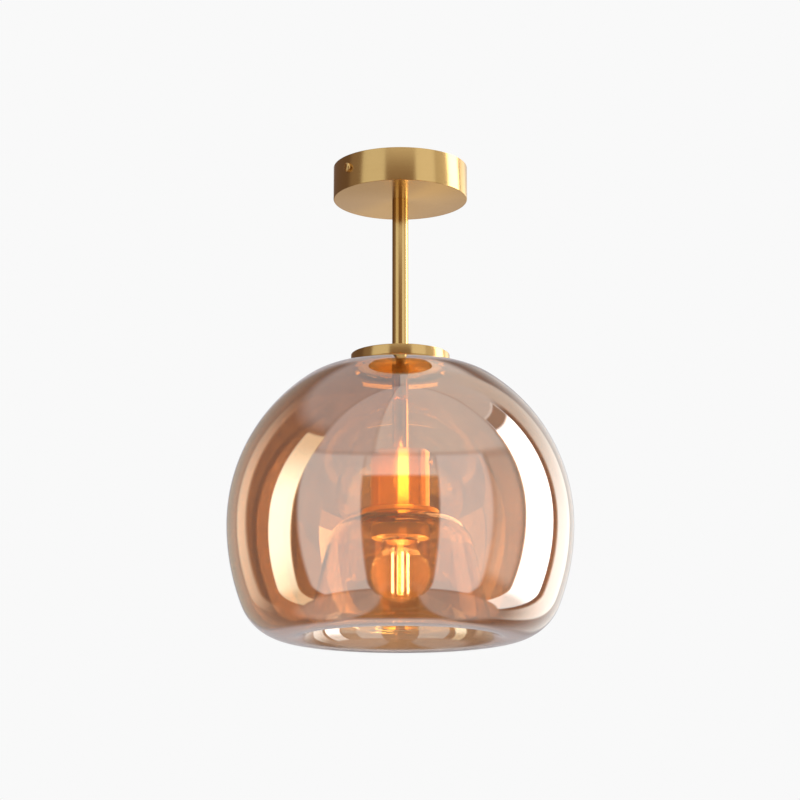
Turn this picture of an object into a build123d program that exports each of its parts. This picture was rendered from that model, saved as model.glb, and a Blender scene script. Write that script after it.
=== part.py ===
"""Semi flush ceiling light: a brass rod carries a lampholder inside a re-entrant blown glass shade.

Millimetres, +Z up. The origin lies on the lamp's axis in the ceiling plane, so every piece hangs
at negative Z, and -Y is the side that faces the viewer.
"""
import os
from math import asin, atan2, cos, degrees, hypot, radians, sin, sqrt

from build123d import *

# ---------------------------------------------------------------- driving dimensions
same_place = 0.01  # edges nearer than this to a level or radius are on it
running_gap = 0.3  # between pieces that move past each other
seat_gap = 0.05  # between round pieces that are screwed or pushed together
screw_dome = 0.6  # of a round screw head's height
screw_slot_width = 0.25  # of a round screw head's height
screw_slot_depth = 0.25  # of a round screw head's height

# canopy and its ceiling bracket
canopy_diameter = 100.0
canopy_height = 25.0
canopy_wall = 1.2
canopy_edge_radius = 0.6
bracket_width = 18.0
bracket_thickness = 1.6
bracket_bend_radius = 1.2
bracket_clearance = 0.6  # ear to canopy wall
ear_height = 16.0
ear_azimuth = 220.0  # degrees from +X: the front left, where the canopy's side screw shows
side_screw_drop = 10.0  # below the ceiling
side_screw_core = 3.3
side_screw_length = 9.0
side_screw_head_diameter = 7.0
side_screw_head_height = 3.0
side_screw_hole_play = 0.5
ceiling_hole_diameter = 5.0
ceiling_hole_circle = 62.0
supply_hole_diameter = 12.0
earth_screw_diameter = 4.0
earth_screw_offset = 16.0  # from the lamp's axis along the bracket
earth_screw_length = 7.0
earth_head_diameter = 8.0
earth_head_height = 2.4
earth_head_radius = 0.8

# terminal block on the bracket
block_width = 15.0  # along the bracket
block_length = 26.0  # across it
block_height = 12.0
block_edge_radius = 1.5
block_offset = 18.0  # its middle, from the lamp's axis
pole_pitch = 8.0
pole_screw_diameter = 3.6
pole_screw_height = 1.0
pole_bore_diameter = 3.0

# threaded tubes, nuts and washers that hold the rod
nipple_diameter = 10.0
nipple_bore = 7.6
nipple_engagement = 12.0  # length of tube inside the rod
nipple_stand = 2.6  # length of tube past its nut
nut_across_flats = 14.0
nut_height = 4.0
nut_chamfer = 0.4
washer_diameter = 20.0
washer_thickness = 1.2

# rod and the cover that slides on it
stem_diameter = 12.0
stem_length = 192.5
cover_diameter = 72.8
cover_thickness = 7.5
cover_edge_radius = 0.5
cover_gasket_bore = 47.2
cover_gasket_diameter = 68.0
cover_gasket_thickness = 1.8
cover_gasket_proud = 0.3

# lampholder
cup_diameter = 43.0
cup_height = 43.3
cup_wall = 1.0
cup_top_thickness = 1.2
cup_edge_radius = 0.8
cup_screw_drop = 7.3  # below the top of the cup
cup_screw_core = 2.6
cup_screw_head_diameter = 4.6
cup_screw_head_height = 2.0
flange_diameter = 56.0
flange_thickness = 3.8
flange_edge_radius = 0.5
sleeve_diameter = 42.0
sleeve_bore = 37.7
sleeve_length = 17.0
sleeve_chamfer = 0.6
spigot_length = 8.0
holder_height = 20.5  # steel bracket between the cup's top and the ceramic insert
holder_thickness = 1.2
holder_width = 12.0
holder_foot = 8.0
holder_screw_place = 4.8  # from the leg's outer face
holder_screw_diameter = 3.0
holder_screw_length = 8.0
holder_head_diameter = 5.4
holder_head_height = 1.8
holder_head_radius = 0.6
insert_recess = 2.6  # from the sleeve's lower end up to the insert
insert_play = 0.35
socket_depth = 23.0
socket_shell_bore = 26.9
socket_shell_wall = 0.5
socket_shell_height = 20.0
socket_wall_play = 0.2
contact_diameter = 5.0
contact_height = 2.0
contact_edge_radius = 1.0
contact_hole = 12.0  # in the top of the screw shell
post_size = 6.0
post_height = 4.0
post_offset = 9.5
post_screw_diameter = 3.4
post_screw_height = 1.4

# glass shade: outer face, from the crown to the equator to the rolled lip to the bell inside
glass_wall = 2.2
shade_diameter = 252.0
top_hole_diameter = 62.0
crown_slope = 9.0  # degrees below level
brow_radius = 58.0
dome_radius = 129.0
dome_turn = 55.0
equator_drop = 5.1  # equator below the face that is clamped
flank_radius = 164.0
flank_turn = 21.5
base_radius = 38.5
roll_radius = 16.0
shoulder_radius = 23.4
bell_hole_play = 0.7  # round the sleeve
glass_edge_radius = 0.9

# clamp of the shade
gasket_thickness = 0.8
gasket_margin = 0.5  # gaskets end this far inside the ring's edge
ring_width = 6.4  # of the ring and its gaskets, from the sleeve outwards
ring_height = 5.0
ring_plate = 2.4
ring_wall = 1.4
ring_edge_radius = 0.5
seat_margin = 0.9  # flat glass past the ring

# bulb
bulb_diameter = 44.0
bulb_wall = 0.9
bulb_neck_diameter = 25.0
bulb_neck_radius = 10.0
bulb_neck_stub = 0.9
cap_diameter = 26.1
cap_wall = 0.3
cap_height = 26.2  # tip to rim
cap_rim_diameter = 27.6
cap_rim_height = 1.2
cap_top_diameter = 22.0
tip_diameter = 9.4
tip_height = 1.4
tip_edge_radius = 0.8
insulator_height = 3.6
neck_in_cap = 8.0
flare_wall = 0.9
flare_drop = 9.0
flare_waist_diameter = 13.8  # half way down
pillar_diameter = 4.0
filament_length = 30.6
filament_diameter = 1.9
filament_circle = 11.6
filament_count = 4
filament_azimuth = 15.0
filament_lift = 0.7  # middle of the filaments above the middle of the ball
frame_wire_diameter = 0.6
board_thickness = 1.2
board_drop = 3.0
capacitor_diameter = 6.0
capacitor_height = 6.5

# leads
lead_diameter = 2.0
lead_spacing = 3.2
lead_bend_radius = 4.0
lead_loop_drop = 7.5  # of the leads below the ceiling
earth_lead_bow = 14.0  # of the earth lead's turn, from the middle of the bracket

# ---------------------------------------------------------------- levels and radii
canopy_bottom = -canopy_height
canopy_floor = canopy_bottom + canopy_wall
canopy_inner_radius = canopy_diameter / 2 - canopy_wall
ear_face = sqrt(canopy_inner_radius**2 - (bracket_width / 2) ** 2) - bracket_clearance
bracket_underside = -bracket_thickness
stem_radius = stem_diameter / 2
stem_bore_radius = nipple_diameter / 2 + seat_gap
cup_radius = cup_diameter / 2
cup_bore_radius = cup_radius - cup_wall
cup_top = canopy_bottom - stem_length
cup_ceiling = cup_top - cup_top_thickness
cup_bottom = cup_top - cup_height
flange_bottom = cup_bottom - flange_thickness
clamp_level = flange_bottom - gasket_thickness
bell_underside = clamp_level - glass_wall
ring_top = bell_underside - gasket_thickness
ring_bottom = ring_top - ring_height
sleeve_radius = sleeve_diameter / 2
sleeve_bottom = flange_bottom - sleeve_length
bell_hole_radius = sleeve_radius + bell_hole_play
top_hole_radius = top_hole_diameter / 2
ring_radius = sleeve_radius + ring_width
seat_radius = ring_radius + seat_margin
gasket_bore_radius = sleeve_radius + running_gap
gasket_radius = ring_radius - gasket_margin

holder_underside = cup_ceiling - holder_thickness
insert_top = cup_ceiling - holder_height
insert_bottom = sleeve_bottom + insert_recess
insert_radius = sleeve_bore / 2 - insert_play
socket_top = insert_bottom + socket_depth
socket_shell_radius = socket_shell_bore / 2 + socket_shell_wall
leg_face = sqrt(cup_bore_radius**2 - (holder_width / 2) ** 2) - seat_gap
foot_screw_offset = leg_face - holder_screw_place

cap_radius = cap_diameter / 2
tip_level = socket_top - contact_height - running_gap
cap_shoulder = tip_level - tip_height - insulator_height
cap_rim = tip_level - cap_height
ball_radius = bulb_diameter / 2
neck_radius = bulb_neck_diameter / 2
neck_rise = sqrt((ball_radius + bulb_neck_radius) ** 2 - (neck_radius + bulb_neck_radius) ** 2)
ball_middle = cap_rim - bulb_neck_stub - neck_rise
neck_top = cap_rim + neck_in_cap
pillar_radius = pillar_diameter / 2
filament_middle = ball_middle + filament_lift
filament_top = filament_middle + filament_length / 2
filament_bottom = filament_middle - filament_length / 2
frame_wire_radius = frame_wire_diameter / 2


# ---------------------------------------------------------------- helpers
def rod(radius, top, bottom):
    """Round bar on the lamp's axis between two levels."""
    bar = Cylinder(radius, top - bottom, align=(Align.CENTER, Align.CENTER, Align.MIN))
    return Pos(0, 0, bottom) * bar


def tube(radius, bore_radius, top, bottom):
    """Round tube on the lamp's axis between two levels."""
    return rod(radius, top, bottom) - rod(bore_radius, top, bottom)


def turned(lines):
    """Solid turned about the lamp's axis from the lines of a closed outline of (radius, level)."""
    outline = [edge for line in lines for edge in (Plane.XZ * line).edges()]
    return revolve(make_face(outline), Axis.Z)


def rounded(solid, level, radius_limits, fillet_radius):
    """Round the circular edges at one level whose radius lies between two limits."""
    low, high = radius_limits
    chosen = [
        edge
        for edge in solid.edges().filter_by(GeomType.CIRCLE)
        if abs(edge.arc_center.Z - level) < same_place and low < edge.radius < high
    ]
    return fillet(chosen, fillet_radius)


def lock_nut(top):
    """Hexagon nut round a threaded tube, hanging from one level."""
    blank = extrude(RegularPolygon(nut_across_flats / 2, 6, major_radius=False), -nut_height)
    nut = Pos(0, 0, top) * chamfer(blank.faces().sort_by(Axis.Z)[0].edges(), nut_chamfer)
    return nut - rod(nipple_diameter / 2 + seat_gap, top + nut_chamfer, top - 2 * nut_height)


def along_bracket(shape, distance, level):
    """Place a shape on the bracket: its +X runs along the strap, away from the lamp's axis."""
    return Rot(0, 0, ear_azimuth) * Pos(distance, 0, level) * shape


def domed_screw(head_diameter, head_height, core_diameter, length):
    """Round-headed screw along +X: the head's seat is at zero and the shank points to -X."""
    head = Cylinder(head_diameter / 2, head_height, align=(Align.CENTER, Align.CENTER, Align.MIN))
    head = fillet(head.faces().sort_by(Axis.Z)[-1].edges(), head_height * screw_dome)
    slot = Box(head_diameter, head_height * screw_slot_width, 2 * head_height * screw_slot_depth)
    head -= Pos(0, 0, head_height) * slot
    shank = Cylinder(core_diameter / 2, length, align=(Align.CENTER, Align.CENTER, Align.MAX))
    return Rot(0, 90, 0) * (head + shank)


# ---------------------------------------------------------------- ceiling end
def mounting_bracket():
    """Steel strap against the ceiling whose ends turn down as ears for the side screws."""
    reach = ear_face - bracket_thickness / 2
    middle = -bracket_thickness / 2
    bend = bracket_bend_radius + bracket_thickness / 2
    path = FilletPolyline((-reach, 0, -ear_height), (-reach, 0, middle), (reach, 0, middle),
                          (reach, 0, -ear_height), radius=bend)
    section = Plane(path @ 0, x_dir=(0, 1, 0), z_dir=path % 0) * Rectangle(bracket_width, bracket_thickness)
    strap = sweep(section, path)
    for side in (-1, 1):
        strap -= Pos(side * ceiling_hole_circle / 2, 0, middle) * Cylinder(ceiling_hole_diameter / 2, 4 * bend)
        ear_hole = Cylinder(side_screw_core / 2 + seat_gap, 4 * bend, rotation=(0, 90, 0))
        strap -= Pos(side * reach, 0, -side_screw_drop) * ear_hole
    strap -= Cylinder(supply_hole_diameter / 2, 4 * bend)
    strap -= Pos(-earth_screw_offset, 0, middle) * Cylinder(earth_screw_diameter / 2 + seat_gap, 4 * bend)
    return Rot(0, 0, ear_azimuth) * strap


def canopy():
    """Shallow cup with its mouth on the ceiling, a hole for the rod's tube and two for side screws."""
    outer_radius = canopy_diameter / 2
    cup = rod(outer_radius, 0, canopy_bottom)
    cup = rounded(cup, canopy_bottom, (outer_radius - 1, outer_radius + 1), canopy_edge_radius)
    cup -= rod(canopy_inner_radius, 0, canopy_floor)
    cup -= rod(nipple_diameter / 2 + seat_gap, 0, 2 * canopy_bottom)
    hole_radius = (side_screw_core + side_screw_hole_play) / 2 + seat_gap
    drill = Cylinder(hole_radius, 2 * canopy_diameter, rotation=(0, 90, 0))
    return cup - Rot(0, 0, ear_azimuth) * Pos(0, 0, -side_screw_drop) * drill


def canopy_side_screws():
    """Two round-headed screws through the canopy's wall into the bracket's ears."""
    screw = domed_screw(side_screw_head_diameter, side_screw_head_height, side_screw_core, side_screw_length)
    placed = Pos(canopy_diameter / 2, 0, -side_screw_drop) * screw
    return [Rot(0, 0, ear_azimuth + turn) * placed for turn in (0, 180)]


def earth_screw():
    """Pan-head screw up through the bracket that holds the earth lead."""
    shank = rod(earth_screw_diameter / 2, 0, -earth_screw_length)
    head = rod(earth_head_diameter / 2, bracket_underside, bracket_underside - earth_head_height)
    head = rounded(head, bracket_underside - earth_head_height, (0, earth_head_diameter), earth_head_radius)
    return along_bracket(shank + head, -earth_screw_offset, 0)


def terminal_block():
    """Three-pole block under the bracket, open from side to side at each pole."""
    block = Box(block_width, block_length, block_height, align=(Align.CENTER, Align.CENTER, Align.MAX))
    block = fillet(block.edges().filter_by(Axis.Z), block_edge_radius)
    for pole in (-1, 0, 1):
        bore = Cylinder(pole_bore_diameter / 2, 2 * block_width, rotation=(0, 90, 0))
        block -= Pos(0, pole * pole_pitch, bracket_thickness - lead_loop_drop) * bore
        block -= Pos(0, pole * pole_pitch, -block_height) * Cylinder(pole_screw_diameter / 2, 4 * pole_screw_height)
    return along_bracket(block, block_offset, bracket_underside)


def terminal_block_screws():
    """Slotted clamping screws in the underside of the terminal block, one for each pole."""
    screws = []
    for pole in (-1, 0, 1):
        low = bracket_underside - block_height
        screw = rod(pole_screw_diameter / 2 - seat_gap, low + 2 * pole_screw_height, low + pole_screw_height / 2)
        screw -= Pos(0, 0, low) * Box(pole_screw_diameter, pole_screw_height / 2, 2 * pole_screw_height)
        screws.append(along_bracket(Pos(0, pole * pole_pitch, 0) * screw, block_offset, 0))
    return screws


def canopy_nipple():
    """Threaded tube that joins the canopy to the rod."""
    top = canopy_floor + washer_thickness + nut_height + nipple_stand
    return tube(nipple_diameter / 2, nipple_bore / 2, top, canopy_bottom - nipple_engagement)


def canopy_washer():
    """Flat washer on the canopy's floor."""
    return tube(washer_diameter / 2, nipple_diameter / 2 + seat_gap, canopy_floor + washer_thickness, canopy_floor)


# ---------------------------------------------------------------- rod and cover
def stem():
    """Brass tube from the canopy to the lampholder, tapped at both ends."""
    return tube(stem_radius, stem_bore_radius, canopy_bottom, cup_top)


def top_cover():
    """Turned brass disc that rests on the shade's crown, with a groove for its gasket."""
    underside = shade_crown() + running_gap + cover_gasket_proud
    top = underside + cover_thickness
    disc = tube(cover_diameter / 2, stem_radius + running_gap, top, underside)
    for level in (top, underside):
        disc = rounded(disc, level, (cover_diameter / 2 - 1, cover_diameter), cover_edge_radius)
    groove_top = underside + cover_gasket_thickness - cover_gasket_proud
    groove = tube(cover_gasket_diameter / 2 + seat_gap, cover_gasket_bore / 2 - seat_gap, groove_top, underside)
    return disc - groove


def cover_gasket():
    """Soft ring in the cover's groove that keeps the brass off the glass."""
    bottom = shade_crown() + running_gap
    return tube(cover_gasket_diameter / 2, cover_gasket_bore / 2, bottom + cover_gasket_thickness, bottom)


# ---------------------------------------------------------------- lampholder
def lampholder_cup():
    """Deep brass cup over the lampholder, open below, with a side hole for its locking screw."""
    cup = rod(cup_radius, cup_top, cup_bottom)
    cup = rounded(cup, cup_top, (cup_radius - 1, cup_radius + 1), cup_edge_radius)
    cup -= rod(cup_bore_radius, cup_ceiling, cup_bottom)
    cup -= rod(nipple_diameter / 2 + seat_gap, cup_top, cup_bottom)
    drill = Cylinder(cup_screw_core / 2 + seat_gap, cup_diameter, rotation=(0, 90, 0))
    return cup - Pos(cup_radius, 0, cup_top - cup_screw_drop) * drill


def cup_screw():
    """Small screw through the cup's wall into the steel holder, at the lamp's right."""
    length = cup_radius - leg_face + holder_thickness
    screw = domed_screw(cup_screw_head_diameter, cup_screw_head_height, cup_screw_core, length)
    return Pos(cup_radius, 0, cup_top - cup_screw_drop) * screw


def cup_nipple():
    """Threaded tube that joins the rod to the cup and the steel holder."""
    bottom = holder_underside - nut_height - nipple_stand
    return tube(nipple_diameter / 2, nipple_bore / 2, cup_top + nipple_engagement, bottom)


def insert_holder():
    """Steel strap bent into a bridge: hangs from the threaded tube and carries the ceramic insert."""
    middle = cup_ceiling - holder_thickness / 2
    reach = leg_face - holder_thickness / 2
    foot = insert_top + holder_thickness / 2
    bend = 1.5 * holder_thickness
    path = FilletPolyline((-reach + holder_foot, foot), (-reach, foot), (-reach, middle),
                          (reach, middle), (reach, foot), (reach - holder_foot, foot), radius=bend)
    path = Plane.XZ * path
    section = Plane(path @ 0, x_dir=(0, 1, 0), z_dir=path % 0) * Rectangle(holder_width, holder_thickness)
    bridge = sweep(section, path)
    bridge -= rod(nipple_diameter / 2 + seat_gap, cup_top, holder_underside - bend)
    drill = Cylinder(cup_screw_core / 2 + seat_gap, 2 * bend, rotation=(0, 90, 0))
    bridge -= Pos(reach, 0, cup_top - cup_screw_drop) * drill
    for side in (-1, 1):
        bridge -= Pos(side * foot_screw_offset, 0, foot) * Cylinder(holder_screw_diameter / 2 + seat_gap, 2 * bend)
    return bridge


def insert_screws():
    """Two screws through the holder's feet into the ceramic insert."""
    top = insert_top + holder_thickness
    shank = rod(holder_screw_diameter / 2, top, top - holder_screw_length)
    head = rod(holder_head_diameter / 2, top + holder_head_height, top)
    head = rounded(head, top + holder_head_height, (0, holder_head_diameter), holder_head_radius)
    return [Pos(side * foot_screw_offset, 0, 0) * (shank + head) for side in (-1, 1)]


def ceramic_insert():
    """Glazed insert with the socket's well below and its wiring face above."""
    body = rod(insert_radius, insert_top, insert_bottom)
    body -= rod(socket_shell_radius + socket_wall_play, socket_top, insert_bottom)
    body = rounded(body, insert_bottom, (0, insert_radius - 1), insert_play)
    for side in (-1, 1):
        hole = rod(holder_screw_diameter / 2 + seat_gap, insert_top, insert_top - holder_screw_length)
        body -= Pos(side * foot_screw_offset, 0, 0) * hole
    return body - rod(contact_diameter / 2 + seat_gap, socket_top + contact_height, socket_top)


def socket_shell():
    """Thin metal shell of the socket, closed above but for the hole round the middle contact."""
    shell = tube(socket_shell_radius, socket_shell_bore / 2, socket_top, socket_top - socket_shell_height)
    return shell + tube(socket_shell_radius, contact_hole / 2, socket_top, socket_top - socket_shell_wall)


def centre_contact():
    """Sprung button that meets the bulb's tip."""
    button = rod(contact_diameter / 2, socket_top + contact_height, socket_top - contact_height)
    low = socket_top - contact_height
    return rounded(button, low, (0, contact_diameter), contact_edge_radius)


def terminal_posts():
    """Two brass posts on the wiring face, front and back, that take the leads."""
    post = Box(post_size, post_size, post_height, align=(Align.CENTER, Align.CENTER, Align.MIN))
    return [Pos(0, side * post_offset, insert_top) * post for side in (-1, 1)]


def post_screws():
    """One clamping screw on each terminal post."""
    top = insert_top + post_height
    screw = rod(post_screw_diameter / 2, top + post_screw_height, top)
    return [Pos(0, side * post_offset, 0) * screw for side in (-1, 1)]


def shade_carrier():
    """Turned sleeve that plugs into the cup: its flange bears on the shade, its thread takes the ring."""
    spigot_top = cup_bottom + spigot_length
    body = rod(cup_bore_radius - seat_gap, spigot_top, cup_bottom)
    flange = rod(flange_diameter / 2, cup_bottom, flange_bottom)
    for level in (cup_bottom, flange_bottom):
        flange = rounded(flange, level, (flange_diameter / 2 - 1, flange_diameter), flange_edge_radius)
    sleeve = rod(sleeve_radius, flange_bottom, sleeve_bottom)
    sleeve = chamfer(sleeve.faces().sort_by(Axis.Z)[0].edges(), sleeve_chamfer)
    return body + flange + sleeve - rod(sleeve_bore / 2, spigot_top, sleeve_bottom)


# ---------------------------------------------------------------- shade
def shade_crown():
    """Level of the glass at the edge of the top hole, its highest point."""
    brow_end = 90 - dome_turn
    dome_rise = dome_radius * cos(radians(brow_end))
    brow_rise = brow_radius * (cos(radians(crown_slope)) - cos(radians(brow_end)))
    dome_inward = dome_radius * (1 - sin(radians(brow_end)))
    brow_inward = brow_radius * (sin(radians(brow_end)) - sin(radians(crown_slope)))
    cone_width = shade_diameter / 2 - dome_inward - brow_inward - top_hole_radius
    cone_rise = cone_width * sin(radians(crown_slope)) / cos(radians(crown_slope))
    return clamp_level - equator_drop + dome_rise + brow_rise + cone_rise


def shade_face(inset):
    """One face of the glass: the lowest point of its lip, the lines from there over the dome to the
    top hole, and the lines from there round the lip and up the bell to the clamp.

    Inset 0 is the outer face and inset glass_wall is the face of the closed chamber. The arcs are
    tangent and share their centres, so the wall is even. The bell's straight wall is the common
    tangent of the rolled lip and the bell's shoulder, which turn opposite ways.
    """
    equator = (shade_diameter / 2 - inset, clamp_level - equator_drop)
    dome = JernArc(equator, (0, 1), dome_radius - inset, dome_turn)
    brow = JernArc(dome @ 1, dome % 1, brow_radius - inset, 90 - dome_turn - crown_slope)
    cone = Line(brow @ 1, (brow @ 1) + (brow % 1) * ((brow @ 1).X - top_hole_radius + glass_wall))
    flank = JernArc(equator, (0, -1), flank_radius - inset, -flank_turn)
    base = JernArc(flank @ 1, flank % 1, base_radius - inset, flank_turn - 90)

    roll_middle = (base @ 1) + Vector(0, roll_radius - inset)
    shoulder_middle = Vector(seat_radius, bell_underside - shoulder_radius)
    span = shoulder_middle - roll_middle
    turn_off = asin((roll_radius + shoulder_radius) / hypot(span.X, span.Y))
    heading = degrees(atan2(span.Y, span.X) - turn_off)
    roll = JernArc(base @ 1, (-1, 0), roll_radius - inset, heading - 180)
    shoulder_end = (seat_radius, bell_underside + inset)
    shoulder = JernArc(shoulder_end, (1, 0), shoulder_radius + inset, heading - 180)
    wall = Line(roll @ 1, shoulder @ 1)
    land = Line(shoulder_end, (sleeve_radius - glass_wall, bell_underside + inset))
    return base @ 1, [base, flank, dome, brow, cone], [roll, wall, shoulder, land]


def glass_part(number, hole_radius):
    """Solid between both faces of one part of the shade, its hole cut true and its rims rounded."""
    outer_lip, *outer_parts = shade_face(0)
    inner_lip, *inner_parts = shade_face(glass_wall)
    outer, inner = outer_parts[number], inner_parts[number]
    part = turned(outer + inner + [Line(outer_lip, inner_lip), Line(outer[-1] @ 1, inner[-1] @ 1)])
    part -= rod(hole_radius, 0, 2 * bell_underside)
    rims = [edge for edge in part.edges().filter_by(GeomType.CIRCLE) if abs(edge.radius - hole_radius) < same_place]
    return fillet(rims, glass_edge_radius)


def glass_shade():
    """Outer part of the blown shade, from the top hole over the dome to the lowest ring of its lip."""
    return glass_part(0, top_hole_radius)


def glass_bell():
    """Inner part of the same glass: the lip rolls in and rises as a bell to the lampholder.

    Both parts are one blown piece. They meet on a cylinder through the lowest ring of the lip.
    """
    return glass_part(1, bell_hole_radius)


def flange_gasket():
    """Soft washer between the carrier's flange and the glass."""
    return tube(gasket_radius, gasket_bore_radius, flange_bottom, clamp_level)


def ring_gasket():
    """Soft washer between the glass and the shade ring."""
    return tube(gasket_radius, gasket_bore_radius, bell_underside, ring_top)


def shade_ring():
    """Threaded ring below the glass: a plate with a skirt, so its underside is a shallow dish."""
    ring = rod(ring_radius, ring_top, ring_bottom)
    for level in (ring_top, ring_bottom):
        ring = rounded(ring, level, (ring_radius - 1, ring_radius + 1), ring_edge_radius)
    ring -= rod(ring_radius - ring_wall, ring_top - ring_plate, ring_bottom)
    return ring - rod(sleeve_radius + running_gap, ring_top, ring_bottom)


# ---------------------------------------------------------------- bulb
def bulb_face(inset):
    """One face of the bulb's glass, from its bottom pole round the ball to the top of the neck."""
    ball = ball_radius - inset
    neck = neck_radius - inset
    hollow = bulb_neck_radius + inset
    arc_middle = Vector(neck + hollow, ball_middle + neck_rise)
    joint = Vector(0, ball_middle) + (arc_middle - Vector(0, ball_middle)) * (ball / (ball + hollow))
    neck_foot = Vector(neck, ball_middle + neck_rise)
    pole = (0, ball_middle - ball)
    side = (ball, ball_middle)
    lower = RadiusArc(pole, side, -ball)
    upper = RadiusArc(side, joint, -ball)
    blend = RadiusArc(joint, neck_foot, hollow)
    return [lower, upper, blend, Line(neck_foot, (neck, neck_top))]


def bulb_glass():
    """Clear ball with a neck, open at the top, where the flare closes it."""
    outer = bulb_face(0)
    inner = bulb_face(bulb_wall)
    pole = Line(outer[0] @ 0, inner[0] @ 0)
    rim = Line(outer[-1] @ 1, inner[-1] @ 1)
    return turned(outer + inner + [pole, rim])


def bulb_flare():
    """Glass flare and pillar inside the ball that carry the filaments."""
    flare_radius = neck_radius - bulb_wall - seat_gap
    flare_low = neck_top - flare_drop
    pillar_low = filament_bottom - 2 * frame_wire_diameter
    outline = Polyline(
        (0, neck_top), (flare_radius, neck_top), (flare_radius, neck_top - flare_wall),
        (flare_waist_diameter / 2, neck_top - flare_drop / 2), (pillar_radius, flare_low),
        (pillar_radius, pillar_low), (0, pillar_low), close=True)
    return turned([outline])


def filament_places():
    """Azimuths of the filaments about the lamp's axis, in degrees."""
    return [filament_azimuth + 360 / filament_count * number for number in range(filament_count)]


def bulb_filaments():
    """Straight light strips that stand round the pillar."""
    strip = rod(filament_diameter / 2, filament_top, filament_bottom)
    return [Rot(0, 0, turn) * Pos(filament_circle / 2, 0, 0) * strip for turn in filament_places()]


def bulb_frame():
    """Wire arms from the pillar to both ends of each filament."""
    arms = []
    for turn in filament_places():
        for level in (filament_top + frame_wire_radius, filament_bottom - frame_wire_radius):
            arm = Cylinder(frame_wire_radius, filament_circle / 2, rotation=(0, 90, 0),
                           align=(Align.CENTER, Align.CENTER, Align.MIN))
            arm = Pos(0, 0, level) * arm - rod(pillar_radius, level + 1, level - 1)
            arms.append(Rot(0, 0, turn) * arm)
    return arms


def bulb_cap():
    """Thin screw cap: straight shell, turned-out rim and a shoulder that holds the insulator."""
    low_rim = cap_rim + cap_rim_height
    outline = Polyline(
        (cap_rim_diameter / 2, cap_rim), (cap_rim_diameter / 2, low_rim), (cap_radius, low_rim + cap_rim_height),
        (cap_radius, cap_shoulder - cap_wall), (cap_top_diameter / 2, cap_shoulder),
        (cap_top_diameter / 2 - cap_wall, cap_shoulder), (cap_radius - cap_wall, cap_shoulder - 2 * cap_wall),
        (cap_radius - cap_wall, cap_rim), close=True)
    return turned([outline])


def bulb_insulator():
    """Dark glass cone between the cap's shell and its tip."""
    outline = Polyline((0, cap_shoulder), (cap_top_diameter / 2, cap_shoulder),
                       (tip_diameter / 2, tip_level - tip_height), (0, tip_level - tip_height), close=True)
    return turned([outline])


def bulb_tip():
    """Soldered tip contact."""
    tip = rod(tip_diameter / 2, tip_level, tip_level - tip_height)
    return rounded(tip, tip_level, (0, tip_diameter), tip_edge_radius)


def bulb_driver():
    """Round driver board with its capacitor, across the inside of the cap."""
    top = cap_shoulder - board_drop
    board = rod(cap_radius - cap_wall - seat_gap, top, top - board_thickness)
    low = top - board_thickness
    return board + rod(capacitor_diameter / 2, low, low - min(capacitor_height, (low - neck_top) / 2))


# ---------------------------------------------------------------- leads
def swept_lead(points):
    """Round lead along straight runs joined by arcs."""
    path = FilletPolyline(*points, radius=lead_bend_radius)
    section = Plane(path @ 0, z_dir=path % 0) * Circle(lead_diameter / 2)
    lead = sweep(section, path)
    print(f"lead {path.length:.1f} mm long, volume ratio",
          round(lead.volume / (section.area * path.length), 4))
    return lead


def supply_lead(pole, side):
    """Lead from one pole of the terminal block, down through the rod, to one post of the lampholder."""
    inward = block_offset - block_width / 2 - seat_gap
    start = (Rot(0, 0, ear_azimuth) * Pos(inward, pole * pole_pitch, -lead_loop_drop)).position
    in_rod = side * lead_spacing / 2
    post_level = insert_top + post_height / 2
    post_face = side * (post_offset - post_size / 2 - seat_gap)
    return swept_lead([start, Vector(0, in_rod, -lead_loop_drop), Vector(0, in_rod, post_level),
                       Vector(0, post_face, post_level)])


def earth_lead():
    """Short lead from the block's third pole to the side of the earth screw's head."""
    inward = block_offset - block_width / 2 - seat_gap
    head_side = earth_head_diameter / 2 + seat_gap
    head_level = bracket_underside - earth_head_height / 2
    points = [(inward, pole_pitch, -lead_loop_drop),
              (-earth_screw_offset, earth_lead_bow, head_level),
              (-earth_screw_offset, head_side, head_level)]
    return swept_lead([(Rot(0, 0, ear_azimuth) * Pos(*point)).position for point in points])


# ---------------------------------------------------------------- all pieces
pieces = {
    "mounting_bracket": mounting_bracket(),
    "earth_screw": earth_screw(),
    "terminal_block": terminal_block(),
    "terminal_block_screws": terminal_block_screws(),
    "canopy": canopy(),
    "canopy_side_screws": canopy_side_screws(),
    "canopy_nipple": canopy_nipple(),
    "canopy_washer": canopy_washer(),
    "canopy_lock_nut": lock_nut(canopy_floor + washer_thickness + nut_height),
    "stem": stem(),
    "top_cover": top_cover(),
    "cover_gasket": cover_gasket(),
    "lampholder_cup": lampholder_cup(),
    "cup_screw": cup_screw(),
    "cup_nipple": cup_nipple(),
    "cup_lock_nut": lock_nut(holder_underside),
    "insert_holder": insert_holder(),
    "insert_screws": insert_screws(),
    "ceramic_insert": ceramic_insert(),
    "socket_shell": socket_shell(),
    "centre_contact": centre_contact(),
    "terminal_posts": terminal_posts(),
    "post_screws": post_screws(),
    "shade_carrier": shade_carrier(),
    "flange_gasket": flange_gasket(),
    "glass_shade": glass_shade(),
    "glass_bell": glass_bell(),
    "ring_gasket": ring_gasket(),
    "shade_ring": shade_ring(),
    "bulb_glass": bulb_glass(),
    "bulb_flare": bulb_flare(),
    "bulb_filaments": bulb_filaments(),
    "bulb_frame": bulb_frame(),
    "bulb_cap": bulb_cap(),
    "bulb_insulator": bulb_insulator(),
    "bulb_tip": bulb_tip(),
    "bulb_driver": bulb_driver(),
    "lead_line": supply_lead(-1, 1),
    "lead_neutral": supply_lead(0, -1),
    "lead_earth": earth_lead(),
}

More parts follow.
